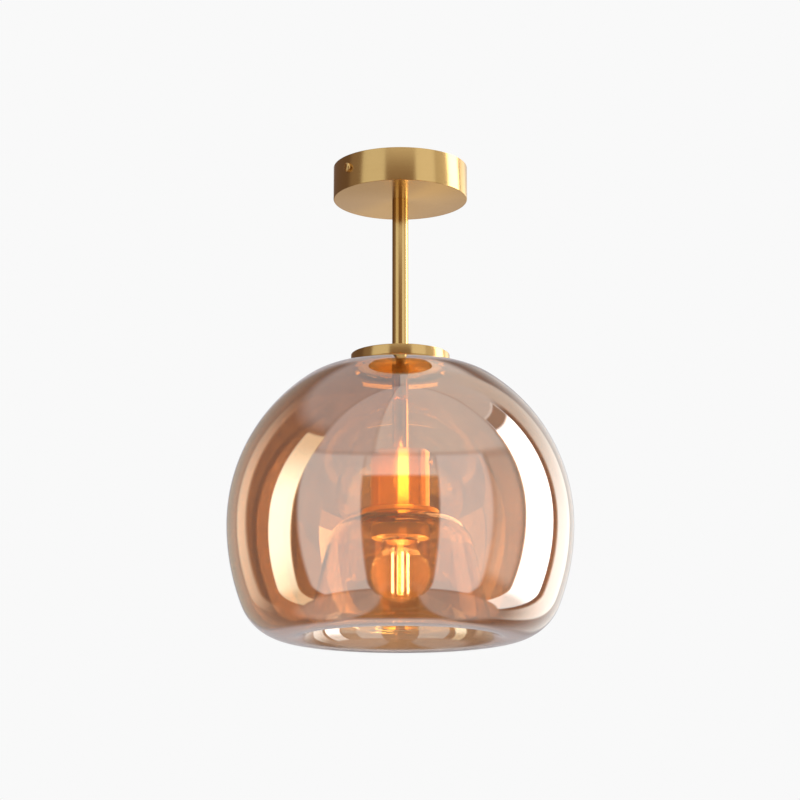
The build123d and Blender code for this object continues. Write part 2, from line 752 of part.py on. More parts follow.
os.makedirs("parts", exist_ok=True)
for name, piece in pieces.items():
    shape = Compound(children=piece) if isinstance(piece, list) else piece
    export_step(shape, f"parts/{name}.step")
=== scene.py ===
"""Looks of a semi flush ceiling light: brushed brass, a re-entrant amber glass shade, a lit bulb.

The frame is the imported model's: metres, +Z up, the lamp's axis on Z and the ceiling at z = 0.
Profiles are written in millimetres as (radius, level) and become metres in the mesh.
"""
from math import radians

import bpy
import numpy as np
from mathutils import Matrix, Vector


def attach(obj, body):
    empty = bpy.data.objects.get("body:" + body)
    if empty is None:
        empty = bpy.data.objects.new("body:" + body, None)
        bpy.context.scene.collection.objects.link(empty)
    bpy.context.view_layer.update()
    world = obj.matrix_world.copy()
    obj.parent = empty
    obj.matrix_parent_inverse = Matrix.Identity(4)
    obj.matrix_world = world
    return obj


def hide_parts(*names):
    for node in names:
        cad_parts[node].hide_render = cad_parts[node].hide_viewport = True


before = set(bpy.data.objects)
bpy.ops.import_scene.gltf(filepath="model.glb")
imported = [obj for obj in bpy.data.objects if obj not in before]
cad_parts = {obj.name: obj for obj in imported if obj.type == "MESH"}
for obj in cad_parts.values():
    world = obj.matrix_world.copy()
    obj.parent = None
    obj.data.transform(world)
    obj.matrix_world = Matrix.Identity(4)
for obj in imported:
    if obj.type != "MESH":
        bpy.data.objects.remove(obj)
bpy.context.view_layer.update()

MM = 0.001
FULL_TURN = 2 * np.pi
POLE = 1e-6  # mm, a profile point nearer to the axis is a pole
FILLET_POINTS = 6
EDGE_REACH = 0.6  # mm, how far from a corner its edge is rubbed
CREASE = 35  # degrees, an edge that turns more stays sharp

scene = bpy.context.scene

# ------------------------------------------------------------------ radii and levels of the CAD, mm
rod_radius, rod_bore = 6.0, 5.05
canopy_radius, canopy_wall, canopy_level = 50.0, 1.2, -25.0

cover_radius, cover_bore = 36.4, 6.3
cover_high, cover_low = -144.452, -151.952
groove_outside, groove_inside, groove_level = 34.05, 23.55, -150.452

cup_radius, cup_bore, cup_top_wall = 21.5, 20.5, 1.2
cup_level, cup_rim_level = -217.5, -260.8
spigot_radius, spigot_level = 20.45, cup_rim_level + 8
flange_radius, flange_level = 28.0, -264.6
sleeve_radius, sleeve_bore, sleeve_low = 21.0, 18.85, -281.6

ring_radius, ring_bore, ring_dish_radius = 27.4, 21.3, 26.0
ring_level, ring_low, ring_web = -268.4, -273.4, 2.4

glass_wall, glass_rim = 2.2, 0.9
equator_radius, equator_level = 126.0, -270.5
dome_radius, brow_radius, flank_radius, base_radius = 129.0, 58.0, 164.0, 38.5
roll_radius, shoulder_radius = 16.0, 23.4
dome_turn, flank_turn, crown_slope = 55.0, 21.5, 9.0  # degrees
top_hole_radius, clamp_hole_radius = 31.0, 21.7
shoulder_out, land_level = 28.3, -267.6

ball_radius, ball_level, bulb_wall = 22.0, -308.05, 0.9
neck_radius, neck_level, hollow_radius = 12.5, -276.5, 10.0
strip_length, strip_radius, strip_middle = 30.6, 0.95, ball_level + 0.7
strip_circle_radius, first_strip_azimuth = 5.8, 15.0
pillar_radius, pillar_low = 2.0, strip_middle - strip_length / 2 - 1.2
cap_radius, cap_inside, cap_rim_radius, cap_rim_level = 13.05, 12.75, 13.8, -284.5
cap_shoulder, cap_shoulder_radius, cap_mouth_radius = -263.3, 11.0, 10.7


# ------------------------------------------------------------------ profiles
def arc(centre, radius, start, end, count):
    """Arc: the centre plus the radius turned from one angle to another, in degrees from outwards."""
    turn = np.radians(np.linspace(start, end, count))
    return np.stack([centre[0] + radius * np.cos(turn), centre[1] + radius * np.sin(turn)], axis=1)


def unit(vector):
    """A vector divided by its length."""
    return vector / np.linalg.norm(vector)


def half_turned(angle):
    """The same angle between minus half a turn and half a turn."""
    return (angle + np.pi) % FULL_TURN - np.pi


def fillet(before, corner, after, radius):
    """Arc tangent to both sides of a corner: its centre lies on the bisector, radius / sin(half
    the corner's angle) away."""
    back, on = unit(before - corner), unit(after - corner)
    half = np.arccos(np.clip(back @ on, -1, 1)) / 2
    centre = corner + unit(back + on) * radius / np.sin(half)
    first = corner + back * radius / np.tan(half) - centre
    last = corner + on * radius / np.tan(half) - centre
    start = np.arctan2(first[1], first[0])
    end = start + half_turned(np.arctan2(last[1], last[0]) - start)
    return arc(centre, radius, np.degrees(start), np.degrees(end), FILLET_POINTS)


def rounded(points, radii):
    """Closed outline with a fillet at each corner whose radius isn't 0."""
    return np.concatenate([
        fillet(points[number - 1], points[number], points[(number + 1) % len(points)], radius)
        if radius else points[number][None]
        for number, radius in enumerate(radii)])


def outline(corners):
    """Closed outline of (radius, level) corners that stay sharp and (radius, level, fillet) ones."""
    points = np.array([corner[:2] for corner in corners], dtype=float)
    return rounded(points, [corner[2] if len(corner) > 2 else 0 for corner in corners])


def subdivided(profile, longest, low, high):
    """Profile whose runs between two levels are divided into pieces of a given length or shorter."""
    parts = []
    for start, end in zip(profile, np.roll(profile, -1, axis=0)):
        inside = min(start[1], end[1]) >= low - POLE and max(start[1], end[1]) <= high + POLE
        count = int(np.ceil(np.linalg.norm(end - start) / longest)) if inside else 1
        share = np.linspace(0, 1, max(count, 1), endpoint=False)[:, None]
        parts.append(start + (end - start) * share)
    return np.concatenate(parts)


def edge_share(profile, closed):
    """How much each point of a profile is an edge: the outline's turn near it, in quarter turns."""
    step = np.roll(profile, -1, axis=0) - profile
    heading = np.arctan2(step[:, 1], step[:, 0])
    turn = np.abs(half_turned(heading - np.roll(heading, 1)))
    if not closed:
        turn[[0, -1]] = 0
    gap = np.linalg.norm(profile[:, None] - profile[None], axis=2)
    return np.clip((turn * (gap < EDGE_REACH)).sum(axis=1) / (np.pi / 2), 0, 1)


# ------------------------------------------------------------------ meshes
def make_piece(name, vertices, faces, material, body, replaced):
    """Object of a mesh, from vertices in metres and groups of faces, with smooth faces."""
    mesh = bpy.data.meshes.new(name)
    mesh.from_pydata(vertices.tolist(), [], [face for group in faces for face in group.tolist()])
    mesh.shade_smooth()
    mesh.set_sharp_from_angle(angle=radians(CREASE))
    mesh.materials.append(material)
    piece = bpy.data.objects.new(name, mesh)
    scene.collection.objects.link(piece)
    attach(piece, body)
    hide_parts(*replaced)
    return piece


def add_share(piece, name, values):
    """Attribute of a piece: one number for each of its points."""
    attribute = piece.data.attributes.new(name, "FLOAT", "POINT")
    attribute.data.foreach_set("value", values.astype(np.float32))


def turned(name, profile, material, body, replaced, steps=192, relief=None):
    """Surface of a profile turned about the lamp's axis.

    A point is (r cos a, r sin a, level), with r = radius + relief. The profile is a closed loop, or
    runs from pole to pole. It is reversed where needed so that it goes round its material
    anticlockwise, which turns the faces outwards.
    """
    after = np.roll(profile, -1, axis=0)
    if (profile[:, 0] * after[:, 1] - after[:, 0] * profile[:, 1]).sum() < 0:
        profile = profile[::-1]
    first_pole, last_pole = profile[[0, -1], 0] < POLE
    closed = not (first_pole or last_pole)
    on_rings = slice(int(first_pole), len(profile) - int(last_pole))
    rings = profile[on_rings]
    edge = np.repeat(edge_share(profile, closed)[on_rings], steps)

    radius, level = rings[:, :1], rings[:, 1:]
    angle = np.linspace(0, FULL_TURN, steps, endpoint=False)[None]
    radius = radius + (relief(radius, level, angle) if relief else 0 * angle)
    x, y = radius * np.cos(angle), radius * np.sin(angle)
    vertices = np.stack([x, y, level + 0 * angle], axis=-1).reshape(-1, 3)

    row = np.arange(len(rings) if closed else len(rings) - 1)[:, None] * steps
    next_row = (row + steps) % (len(rings) * steps)
    column = np.arange(steps)
    beside = (column + 1) % steps
    quads = np.stack([row + column, row + beside, next_row + beside, next_row + column], axis=-1)
    faces = [quads.reshape(-1, 4)]
    last = (len(rings) - 1) * steps
    for is_pole, pole_level, one, other in (
            (first_pole, profile[0, 1], beside, column),
            (last_pole, profile[-1, 1], last + column, last + beside)):
        if is_pole:
            faces.append(np.stack([0 * one + len(vertices), one, other], axis=-1))
            vertices = np.concatenate([vertices, [[0, 0, pole_level]]])
            edge = np.append(edge, 0)
    piece = make_piece(name, vertices * MM, faces, material, body, replaced)
    add_share(piece, "edge", edge)
    return piece


def thread(pitch, depth, low, high, least_radius):
    """Relief of a rounded thread on the skin outside a least radius.

    It is depth times (cos(2 pi level / pitch - angle) - 1) / 2, faded over a pitch at both ends.
    """
    def relief(radius, level, angle):
        wave = (np.cos(FULL_TURN * level / pitch - angle) - 1) / 2
        fade = np.clip((level - low) / pitch, 0, 1) * np.clip((high - level) / pitch, 0, 1)
        return depth * wave * fade * (radius > least_radius)
    return relief


# ------------------------------------------------------------------ shader nodes
def node(tree, kind, inputs=None, **settings):
    """Shader node with its settings; an input takes a plain value or the socket that feeds it."""
    made = tree.nodes.new(kind)
    for key, value in settings.items():
        setattr(made, key, value)
    for key, value in (inputs or {}).items():
        if isinstance(value, bpy.types.NodeSocket):
            tree.links.new(value, made.inputs[key])
        else:
            made.inputs[key].default_value = value
    return made


def found(tree, kind):
    """The tree's first node of a type."""
    return next(item for item in tree.nodes if item.type == kind)


def maths(tree, operation, *values):
    """Output of a Math node on up to three values or sockets."""
    return node(tree, "ShaderNodeMath", dict(enumerate(values)), operation=operation).outputs[0]


def ranged(tree, value, low, high, to_low=0.0, to_high=1.0, smooth=False):
    """Output of a Map Range node from low..high to to_low..to_high."""
    return node(tree, "ShaderNodeMapRange", {0: value, 1: low, 2: high, 3: to_low, 4: to_high},
                interpolation_type="SMOOTHSTEP" if smooth else "LINEAR").outputs[0]


def band(tree, value, low, high, soft):
    """1 between two values and 0 outside, with soft edges."""
    rise = ranged(tree, value, low - soft, low + soft, smooth=True)
    fall = ranged(tree, value, high - soft, high + soft, 1.0, 0.0, smooth=True)
    return maths(tree, "MULTIPLY", rise, fall)


def weighted(tree, first, share, second):
    """A share of the first value plus the rest of the second."""
    return maths(tree, "MULTIPLY_ADD", first, share, maths(tree, "MULTIPLY", second, 1 - share))


def mixed(tree, share, first, second):
    """Colour between a first and a second, by a share from 0 to 1."""
    return node(tree, "ShaderNodeMix", {0: share, 6: first, 7: second}, data_type="RGBA").outputs[2]


def rgb(red, green, blue):
    """Colour with full opacity."""
    return (red, green, blue, 1.0)


def object_place(tree):
    """Place on the object in its own coordinates, in metres."""
    return node(tree, "ShaderNodeTexCoord").outputs["Object"]


def noise(tree, where, scale, detail, **more):
    """Noise from 0 to 1 at a place, with a scale in waves per unit of it."""
    inputs = {"Vector": where, "Scale": scale, "Detail": detail, **more}
    return node(tree, "ShaderNodeTexNoise", inputs).outputs["Fac"]


def new_group(name, inputs, outputs):
    """Empty node group with number inputs, given as name: default, and number outputs."""
    group = bpy.data.node_groups.new(name, "ShaderNodeTree")
    for label, default in inputs.items():
        socket = group.interface.new_socket(label, in_out="INPUT", socket_type="NodeSocketFloat")
        socket.default_value = default
    for label in outputs:
        group.interface.new_socket(label, in_out="OUTPUT", socket_type="NodeSocketFloat")
    return group, group.nodes.new("NodeGroupInput"), group.nodes.new("NodeGroupOutput")


def placed(tree, group, **inputs):
    """The group as a node of a material, with its own values."""
    made = node(tree, "ShaderNodeGroup", node_tree=group)
    for key, value in inputs.items():
        made.inputs[key.replace("_", " ")].default_value = value
    return made


def make_turning_lines():
    """Fine lines left by turning and brushing, and broader streaks of them.

    Noise is read on (radius, level), so every line runs round the axis, and drifts slowly sideways,
    so that no line closes on itself.
    """
    group, given, out = new_group("turning_lines", {"lines per mm": 4.0, "break up": 8.0},
                                  ["height", "streak"])
    place = object_place(group)
    flat = node(group, "ShaderNodeVectorMath", {0: place, 1: (1, 1, 0)}, operation="MULTIPLY")
    radius = node(group, "ShaderNodeVectorMath", {0: flat.outputs[0]}, operation="LENGTH")
    axes = node(group, "ShaderNodeSeparateXYZ", {0: place})
    per_metre = maths(group, "MULTIPLY", given.outputs["lines per mm"], 1 / MM)
    across = maths(group, "MULTIPLY", radius.outputs["Value"], per_metre)
    along = maths(group, "MULTIPLY", axes.outputs["Z"], per_metre)
    sideways = maths(group, "ADD", axes.outputs["X"], axes.outputs["Y"])
    drift = maths(group, "MULTIPLY", sideways, given.outputs["break up"])
    where = node(group, "ShaderNodeCombineXYZ", {0: across, 1: along, 2: drift}).outputs[0]
    fine = noise(group, where, 1.0, 3.0, Roughness=0.6)
    broad = noise(group, where, 0.13, 1.0)
    group.links.new(fine, out.inputs["height"])
    group.links.new(ranged(group, broad, 0.3, 0.7), out.inputs["streak"])
    return group


def make_age():
    """Slow uneven tarnish and small specks: two noises, each cut to the share it should cover."""
    group, given, out = new_group("age", {"patch size mm": 20.0, "speck size mm": 1.2},
                                  ["patch", "speck"])
    place = object_place(group)
    patch_scale = maths(group, "DIVIDE", 1 / MM, given.outputs["patch size mm"])
    speck_scale = maths(group, "DIVIDE", 1 / MM, given.outputs["speck size mm"])
    patch = noise(group, place, patch_scale, 5.0, Distortion=0.4)
    speck = noise(group, place, speck_scale, 2.0)
    group.links.new(ranged(group, patch, 0.38, 0.72, smooth=True), out.inputs["patch"])
    group.links.new(ranged(group, speck, 0.66, 0.76, smooth=True), out.inputs["speck"])
    return group


turning_lines = make_turning_lines()
age = make_age()


# ------------------------------------------------------------------ finishes
def new_material(name, **plain):
    """Material, its tree and its shader, with plain values set on the shader's own sockets."""
    material = bpy.data.materials.new(name)
    material.use_nodes = True
    tree = material.node_tree
    shader = found(tree, "BSDF_PRINCIPLED")
    for key, value in plain.items():
        shader.inputs[key.replace("_", " ")].default_value = value
    return material, tree, shader


def feed(tree, shader, **sources):
    """Link sources to the shader's sockets of the same names."""
    for key, source in sources.items():
        tree.links.new(source, shader.inputs[key.replace("_", " ")])


def add_bump(tree, shader, height, depth):
    """Bump from a height of 0 to 1 that stands for a depth in mm."""
    inputs = {"Strength": 1.0, "Distance": depth * MM, "Height": height}
    feed(tree, shader, Normal=node(tree, "ShaderNodeBump", inputs).outputs["Normal"])


def brass_finish(name, bright, dull, smoothest, roughest, anisotropy, lines, line_depth):
    """Turned brass: lines round the axis, a slow tarnish, and edges rubbed lighter and smoother.

    The tarnish is a share of slow patches and the rest of streaks. The noises seldom leave their
    middle, which is stretched over the roughness.
    """
    patch_share, speck_share, middle_low, middle_high = 0.6, 0.35, 0.15, 0.75
    material, tree, shader = new_material(name, Metallic=1.0, Anisotropic=anisotropy,
                                          Anisotropic_Rotation=0.25)
    grain = placed(tree, turning_lines, lines_per_mm=lines)
    wear = placed(tree, age, patch_size_mm=26.0, speck_size_mm=0.9)
    edge = node(tree, "ShaderNodeAttribute", attribute_name="edge").outputs["Fac"]
    tone = weighted(tree, wear.outputs["patch"], patch_share, grain.outputs["streak"])
    tarnish = maths(tree, "MULTIPLY", tone, maths(tree, "SUBTRACT", 1.0, edge))
    colour = mixed(tree, tarnish, rgb(*bright), rgb(*dull))
    specks = maths(tree, "MULTIPLY", wear.outputs["speck"], speck_share)
    colour = mixed(tree, specks, colour, rgb(0.30, 0.17, 0.07))
    rough = weighted(tree, grain.outputs["height"], 0.5, tarnish)
    rough = ranged(tree, rough, middle_low, middle_high, smoothest, roughest)
    tangent = node(tree, "ShaderNodeTangent", direction_type="RADIAL", axis="Z").outputs["Tangent"]
    feed(tree, shader, Base_Color=colour, Roughness=rough, Tangent=tangent)
    add_bump(tree, shader, grain.outputs["height"], line_depth)
    return material


def solid_finish(name, light, dark, smoothest, roughest, patch, grain, depth, **plain):
    """Cast, moulded or plated surface: two tones in slow patches, small specks, a fine grain.

    A speck is three grains wide and has the dark tone, darkened further.
    """
    speck_share, speck_darkness, middle_low, middle_high = 0.4, 0.6, 0.1, 0.9
    material, tree, shader = new_material(name, **plain)
    wear = placed(tree, age, patch_size_mm=patch, speck_size_mm=grain * 3)
    fine = noise(tree, object_place(tree), 1 / (grain * MM), 3.0)
    colour = mixed(tree, wear.outputs["patch"], rgb(*light), rgb(*dark))
    specks = maths(tree, "MULTIPLY", wear.outputs["speck"], speck_share)
    colour = mixed(tree, specks, colour, rgb(*(speck_darkness * np.array(dark))))
    rough = weighted(tree, fine, 0.5, wear.outputs["patch"])
    rough = ranged(tree, rough, middle_low, middle_high, smoothest, roughest)
    feed(tree, shader, Base_Color=colour, Roughness=rough)
    add_bump(tree, shader, fine, depth)
    return material


def lets_lamps_through(tree, shader, tint):
    """Shadow rays pass the glass, coloured by a tint, so lamps light what is behind it."""
    clear = node(tree, "ShaderNodeBsdfTransparent", {"Color": rgb(*tint)}).outputs[0]
    shadow = node(tree, "ShaderNodeLightPath").outputs["Is Shadow Ray"]
    both = node(tree, "ShaderNodeMixShader", {0: shadow, 1: shader.outputs[0], 2: clear}).outputs[0]
    tree.links.new(both, found(tree, "OUTPUT_MATERIAL").inputs["Surface"])


def blown_glass(name, light, deep, tint, wave, wave_depth, bell=None, bell_coat=1.0, **plain):
    """Blown glass: a colour that drifts slowly, a soft waviness, and a few fine seeds in the skin.

    Where the attribute named bell rises to 1, the glass takes the bell's colour and coat weight.
    """
    squeeze, seed_roughness = (1.0, 1.0, 0.45), 0.05  # waves are drawn out along the axis
    material, tree, shader = new_material(name, Metallic=0.0, Transmission_Weight=1.0, **plain)
    stretched = node(tree, "ShaderNodeMapping", {"Vector": object_place(tree), "Scale": squeeze})
    waves = noise(tree, stretched.outputs[0], 1 / (wave * MM), 1.0)
    seeds = placed(tree, age, patch_size_mm=60.0, speck_size_mm=2.2)
    colour = mixed(tree, seeds.outputs["patch"], rgb(*light), rgb(*deep))
    if bell:
        share = node(tree, "ShaderNodeAttribute", attribute_name="bell").outputs["Fac"]
        colour = mixed(tree, share, colour, rgb(*bell))
        feed(tree, shader, Coat_Weight=ranged(tree, share, 0.0, 1.0, 1.0, bell_coat))
    rough = maths(tree, "MULTIPLY", seeds.outputs["speck"], seed_roughness)
    feed(tree, shader, Base_Color=colour, Roughness=rough)
    add_bump(tree, shader, waves, wave_depth)
    lets_lamps_through(tree, shader, tint)
    return material


def glass_with_painted_glow(name, strength):
    """The lit bulb's clear glass with a painted glow: a faint warm emission, strongest beside the
    strips, that stands in for their light in the glass.
    """
    material = blown_glass(name, (0.99, 0.98, 0.96), (0.97, 0.96, 0.94), (0.97, 0.96, 0.94),
                           wave=12.0, wave_depth=0.01, IOR=1.46)
    tree = material.node_tree
    shader = found(tree, "BSDF_PRINCIPLED")
    height = node(tree, "ShaderNodeSeparateXYZ", {0: object_place(tree)}).outputs["Z"]
    glow_low, glow_high, glow_soft = -0.322, -0.292, 0.012  # m
    # painted glow: the glass gets a warm emission between these levels, beside the strips
    beside = band(tree, height, glow_low, glow_high, glow_soft)
    painted_glow = mixed(tree, beside, rgb(0.42, 0.15, 0.02), rgb(1.0, 0.48, 0.08))
    feed(tree, shader, Emission_Color=painted_glow)
    shader.inputs["Emission Strength"].default_value = strength
    return material


def glowing_strip(name, bead_pitch, bead_depth, strength):
    """Lit filament: a phosphor coat with small round beads, whose tops are brightest."""
    material, tree, shader = new_material(name, Roughness=0.6, Emission_Strength=strength)
    height = node(tree, "ShaderNodeSeparateXYZ", {0: object_place(tree)}).outputs["Z"]
    wave = maths(tree, "SINE", maths(tree, "MULTIPLY", height, FULL_TURN / (bead_pitch * MM)))
    bead = ranged(tree, wave, -1.0, 1.0)
    coat = mixed(tree, bead, rgb(0.92, 0.70, 0.30), rgb(0.98, 0.82, 0.45))
    light = mixed(tree, bead, rgb(1.0, 0.80, 0.48), rgb(1.0, 0.90, 0.66))
    feed(tree, shader, Base_Color=coat, Emission_Color=light)
    add_bump(tree, shader, bead, bead_depth)
    return material


# name, bright, dull, smoothest, roughest, anisotropy, lines per mm, depth of the lines in mm
brasses = (
    ("brushed_brass", (0.71, 0.46, 0.185), (0.61, 0.375, 0.135), 0.20, 0.34, 0.75, 4.0, 0.004),
    ("drawn_brass", (0.72, 0.47, 0.185), (0.62, 0.39, 0.14), 0.14, 0.22, 0.55, 5.0, 0.0005),
    ("satin_brass", (0.74, 0.48, 0.19), (0.64, 0.39, 0.14), 0.36, 0.48, 0.35, 4.0, 0.004),
    ("polished_brass", (0.80, 0.53, 0.22), (0.68, 0.43, 0.16), 0.10, 0.20, 0.40, 7.0, 0.0015),
    ("nickel_brass", (0.82, 0.78, 0.70), (0.68, 0.62, 0.53), 0.16, 0.30, 0.30, 5.0, 0.002),
)
# name, light, dark, smoothest, roughest, then patches, grain and depth of the grain in mm
solids = (
    ("white_plastic", (0.84, 0.83, 0.80), (0.77, 0.76, 0.72), 0.35, 0.50, 8.0, 0.30, 0.008),
    ("dark_insulator", (0.035, 0.030, 0.045), (0.020, 0.018, 0.025), 0.08, 0.25, 4.0, 0.40, 0.004),
    ("board", (0.80, 0.79, 0.74), (0.70, 0.69, 0.63), 0.30, 0.50, 4.0, 0.30, 0.010),
    ("lead_brown", (0.16, 0.075, 0.040), (0.11, 0.050, 0.030), 0.35, 0.50, 6.0, 0.30, 0.010),
    ("lead_blue", (0.045, 0.14, 0.42), (0.030, 0.10, 0.32), 0.35, 0.50, 6.0, 0.30, 0.010),
    ("lead_green", (0.20, 0.40, 0.06), (0.52, 0.50, 0.06), 0.35, 0.50, 3.0, 0.30, 0.010),
)
finish = {row[0]: brass_finish(*row) for row in brasses}
finish |= {row[0]: solid_finish(*row) for row in solids}
finish["zinc_steel"] = solid_finish(
    "zinc_steel", (0.66, 0.66, 0.65), (0.48, 0.49, 0.50), 0.28, 0.46, 7.0, 0.25, 0.004, Metallic=1.0)
finish["screw_brass"] = solid_finish(
    "screw_brass", (0.78, 0.52, 0.22), (0.62, 0.39, 0.15), 0.16, 0.34, 4.0, 0.20, 0.003, Metallic=1.0)
finish["ceramic"] = solid_finish(
    "ceramic", (0.86, 0.84, 0.78), (0.80, 0.77, 0.70), 0.12, 0.30, 9.0, 0.50, 0.010, Coat_Weight=0.5)
finish["clear_silicone"] = solid_finish(
    "clear_silicone", (0.90, 0.88, 0.84), (0.84, 0.81, 0.75), 0.35, 0.55, 6.0, 0.40, 0.010,
    Transmission_Weight=0.15, IOR=1.41)

amber_glass = blown_glass(
    "amber_glass", (0.70, 0.43, 0.255), (0.65, 0.38, 0.215), tint=(0.76, 0.56, 0.44), wave=38.0,
    wave_depth=0.03, bell=(0.93, 0.84, 0.74), bell_coat=0.42, IOR=1.5, Coat_IOR=3.1,
    Coat_Roughness=0.0)
# painted glow: emission on the bulb's glass and, stronger, on its flare and pillar, standing in for
# the strips' light
painted_glow_bulb = glass_with_painted_glow("glass_with_painted_glow", 0.28)
painted_glow_pillar = glass_with_painted_glow("painted_glow_pillar", 4.0)
filament = glowing_strip("filament", bead_pitch=1.1, bead_depth=0.08, strength=14.0)

# finish of each CAD node that stays
for name, nodes in {
    "zinc_steel": ("mounting_bracket", "terminal_block_screws", "canopy_nipple", "canopy_washer",
                   "canopy_lock_nut", "cup_nipple", "cup_lock_nut", "insert_holder", "insert_screws",
                   "post_screws", "bulb_frame", "bulb_tip"),
    "screw_brass": ("earth_screw", "canopy_side_screws", "cup_screw", "centre_contact",
                    "terminal_posts"),
    "nickel_brass": ("socket_shell",),
    "ceramic": ("ceramic_insert",),
    "white_plastic": ("terminal_block",),
    "clear_silicone": ("flange_gasket", "ring_gasket", "cover_gasket"),
    "dark_insulator": ("bulb_insulator",),
    "board": ("bulb_driver",),
    "lead_brown": ("lead_line",),
    "lead_blue": ("lead_neutral",),
    "lead_green": ("lead_earth",),
}.items():
    for node_name in nodes:
        for material_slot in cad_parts[node_name].material_slots:
            material_slot.material = finish[name]

# ------------------------------------------------------------------ brass pieces
turned("canopy_shell", outline([
    (canopy_radius, 0, 0.15), (canopy_radius, canopy_level, 0.6), (rod_bore, canopy_level),
    (rod_bore, canopy_level + canopy_wall),
    (canopy_radius - canopy_wall, canopy_level + canopy_wall, 0.5),
    (canopy_radius - canopy_wall, 0, 0.15)]),
    finish["brushed_brass"], "fixture", ["canopy"], steps=256)

rod_high, rod_low = canopy_level - 0.01, cup_level + 0.01  # clear of the faces it stands between
turned("rod_tube", outline([
    (rod_radius, rod_high, 0.12), (rod_radius, rod_low, 0.12), (rod_bore, rod_low),
    (rod_bore, rod_high)]),
    finish["drawn_brass"], "fixture", ["stem"], steps=128)

turned("cover_disc", outline([
    (cover_bore, cover_high, 0.2), (cover_radius, cover_high, 0.5), (cover_radius, cover_low, 0.5),
    (groove_outside, cover_low), (groove_outside, groove_level), (groove_inside, groove_level),
    (groove_inside, cover_low), (cover_bore, cover_low, 0.2)]),
    finish["brushed_brass"], "cover", ["top_cover"], steps=256)

turned("holder_cup", outline([
    (cup_radius, cup_level, 0.8), (cup_radius, cup_rim_level, 0.2), (cup_bore, cup_rim_level),
    (cup_bore, cup_level - cup_top_wall, 0.3), (rod_bore, cup_level - cup_top_wall),
    (rod_bore, cup_level)]),
    finish["brushed_brass"], "fixture", ["lampholder_cup"])

carrier = outline([
    (spigot_radius, spigot_level, 0.2), (spigot_radius, cup_rim_level),
    (flange_radius, cup_rim_level, 0.5), (flange_radius, flange_level, 0.5),
    (sleeve_radius, flange_level), (sleeve_radius, sleeve_low, 0.6), (sleeve_bore, sleeve_low, 0.15),
    (sleeve_bore, spigot_level)])
turned("threaded_carrier",
       subdivided(carrier, longest=0.25, low=sleeve_low, high=flange_level - 0.5),
       finish["satin_brass"], "fixture", ["shade_carrier"], steps=160,
       relief=thread(pitch=1.5, depth=0.45, low=sleeve_low + 0.4, high=flange_level - 0.9,
                     least_radius=20.0))

turned("clamp_ring", outline([
    (ring_bore, ring_level), (ring_radius, ring_level, 0.5), (ring_radius, ring_low, 0.5),
    (ring_dish_radius, ring_low, 0.2), (ring_dish_radius, ring_level - ring_web, 0.3),
    (ring_bore, ring_level - ring_web, 0.2)]),
    finish["polished_brass"], "ring", ["shade_ring"])


# ------------------------------------------------------------------ glass shade
def shade_face(inset, count=22):
    """One face of the glass from the top hole to the clamp, as tangent arcs that share their centres.

    Crown cone, brow, dome, flank, base, rolled lip, bell wall, shoulder and the flat land: inset 0 is
    the outer face and the wall's thickness is the inner one. The bell's wall is the common tangent of
    lip and shoulder.
    """
    dome_centre = (equator_radius - dome_radius, equator_level)
    flank_centre = (equator_radius - flank_radius, equator_level)
    brow_reach, base_reach = dome_radius - brow_radius, flank_radius - base_radius
    brow_centre = (dome_centre[0] + brow_reach * np.cos(radians(dome_turn)),
                   equator_level + brow_reach * np.sin(radians(dome_turn)))
    base_centre = (flank_centre[0] + base_reach * np.cos(radians(flank_turn)),
                   equator_level - base_reach * np.sin(radians(flank_turn)))
    lip_centre = (base_centre[0], base_centre[1] - (base_radius - roll_radius))
    shoulder_centre = (shoulder_out, land_level - shoulder_radius)
    span = np.subtract(shoulder_centre, lip_centre)
    turn_off = np.arcsin((roll_radius + shoulder_radius) / np.hypot(*span))
    heading = np.degrees(np.arctan2(span[1], span[0]) - turn_off)

    brow = arc(brow_centre, brow_radius - inset, 90 - crown_slope, dome_turn, count)
    crown_rise = (brow[0, 0] - top_hole_radius) * np.tan(radians(crown_slope))
    crown = [[top_hole_radius, brow[0, 1] + crown_rise]]
    dome = arc(dome_centre, dome_radius - inset, dome_turn, 0, 2 * count)[1:]
    flank = arc(flank_centre, flank_radius - inset, 0, -flank_turn, count)[1:]
    base = arc(base_centre, base_radius - inset, -flank_turn, -90, count)[1:]
    lip = arc(lip_centre, roll_radius - inset, -90, heading - 270, count)[1:]
    shoulder = arc(shoulder_centre, shoulder_radius + inset, heading - 90, 90, count)
    land = [[clamp_hole_radius, land_level + inset]]
    return np.concatenate([crown, brow, dome, flank, base, lip, shoulder, land])


def glass_outline():
    """Both faces of the shade as one loop, with the rims of both holes rounded."""
    outer, inner = shade_face(0), shade_face(glass_wall)[::-1]
    radii = np.zeros(len(outer) + len(inner))
    radii[[0, len(outer) - 1, len(outer), -1]] = glass_rim
    return rounded(np.concatenate([outer, inner]), radii)


def add_bell_share(piece, whole=70, none=95, high=-262):
    """Attribute that is 0 on the dome and 1 on the bell.

    It rises over the rolled lip between two radii in mm, and stays 0 above the clamp's level.
    """
    place = np.empty(3 * len(piece.data.vertices))
    piece.data.vertices.foreach_get("co", place)
    x, y, level = place.reshape(-1, 3).T / MM
    share = np.clip((none - np.hypot(x, y)) / (none - whole), 0, 1) * (level < high)
    add_share(piece, "bell", share)


add_bell_share(turned("shade_glass", glass_outline(), amber_glass, "shade",
                      ["glass_shade", "glass_bell"], steps=240))


